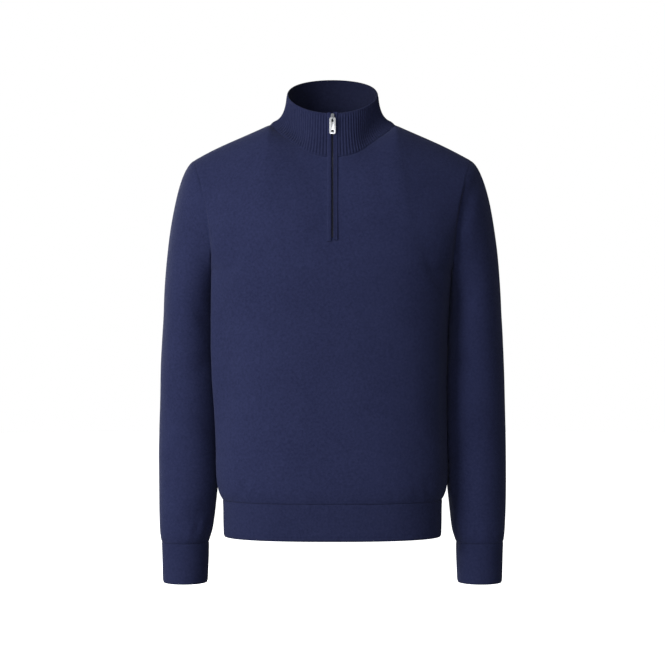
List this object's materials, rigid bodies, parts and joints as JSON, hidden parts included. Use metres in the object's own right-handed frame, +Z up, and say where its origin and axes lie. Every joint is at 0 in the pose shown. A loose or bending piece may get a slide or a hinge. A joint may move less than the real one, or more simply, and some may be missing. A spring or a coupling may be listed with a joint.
{
  "type": "quarter zip sweater, filled out with no wearer",
  "caption": "Navy knit quarter zip sweater with a ribbed stand collar, long sleeves and a metal zip pull, filled out and hollow.",
  "frame": {"origin": "middle of the neck base, where the wearer's shoulders hold the garment up", "axes": "+Z up, the front faces -Y, +X towards the viewer's right from the front"},
  "size_m": [0.5748, 0.2479, 0.8396],
  "materials": {
    "jersey": "matte",
    "rib": "matte",
    "zip_tape": "satin",
    "zip_metal": "satin"
  },
  "bodies": {
    "garment": {"front": "jersey", "back": "jersey", "sleeve_right": "jersey", "sleeve_left": "jersey", "cuff_right": "rib", "cuff_left": "rib", "hem_rib": "rib", "collar": "rib", "zip_band_right": "rib", "zip_band_left": "rib", "zip_tape": "zip_tape", "zip_chain": "zip_tape", "zip_slider": "zip_metal"},
    "pull": {"pull_tab": "zip_metal"}
  },
  "joints": [
    {"name": "pull_swing", "type": "hinge", "parent": "garment", "child": "pull", "pos_m": [0, -0.06701, 0.01071], "axis": [-1, 0, 0], "range_deg": [0, 165]}
  ]
}
